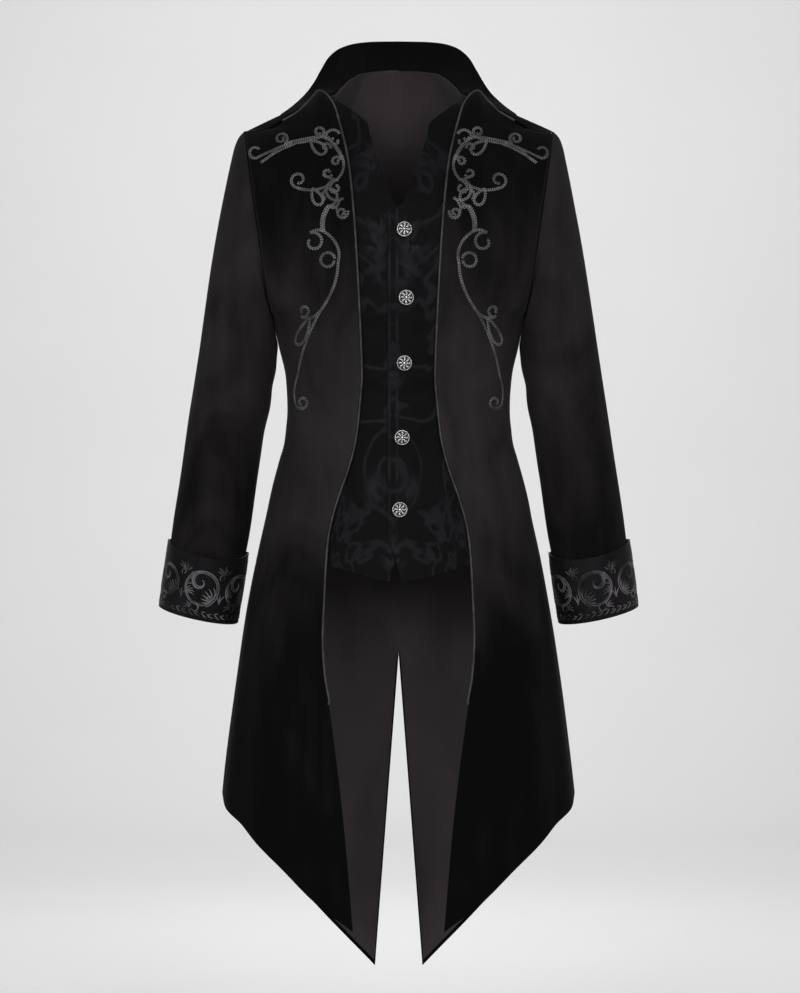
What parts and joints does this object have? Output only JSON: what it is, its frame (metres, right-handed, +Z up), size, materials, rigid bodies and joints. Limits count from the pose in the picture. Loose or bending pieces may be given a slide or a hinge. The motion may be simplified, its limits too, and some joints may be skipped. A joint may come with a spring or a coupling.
{
  "type": "tailcoat",
  "caption": "Long fitted tailcoat with a stand collar, cutaway pointed skirts, a centre back vent, false waistcoat fronts, turned-back cuffs, corded edges and braided scrolls.",
  "frame": {"origin": "inside the cloth at the centre of the back neck seam, the nape, where the coat hangs from the wearer's neck", "axes": "+Z up along the standing coat; the front faces -Y; +X to the wearer's left"},
  "size_m": [0.6348, 0.3259, 1.2694],
  "materials": {
    "velvet": "short dense pile, matt with a soft sheen",
    "lining": "smooth satin lining, dark grey-brown",
    "jacquard": "satin figured with leaves on a dull ground",
    "piping": "satin corded piping, charcoal",
    "button_metal": "antiqued silver, filigree relief"
  },
  "bodies": {
    "root": {"front_left": "velvet", "front_right": "velvet", "back_left": "velvet", "back_right": "velvet", "back_lining_left": "lining", "back_lining_right": "lining", "sleeve_left": "velvet", "sleeve_right": "velvet", "cuff_left": "jacquard", "cuff_right": "jacquard", "piping_left": "piping", "piping_right": "piping", "waistcoat_left": "jacquard", "waistcoat_right": "jacquard", "collar": "velvet", "button_1": "button_metal", "button_2": "button_metal", "button_3": "button_metal", "button_4": "button_metal", "button_5": "button_metal"}
  },
  "joints": []
}
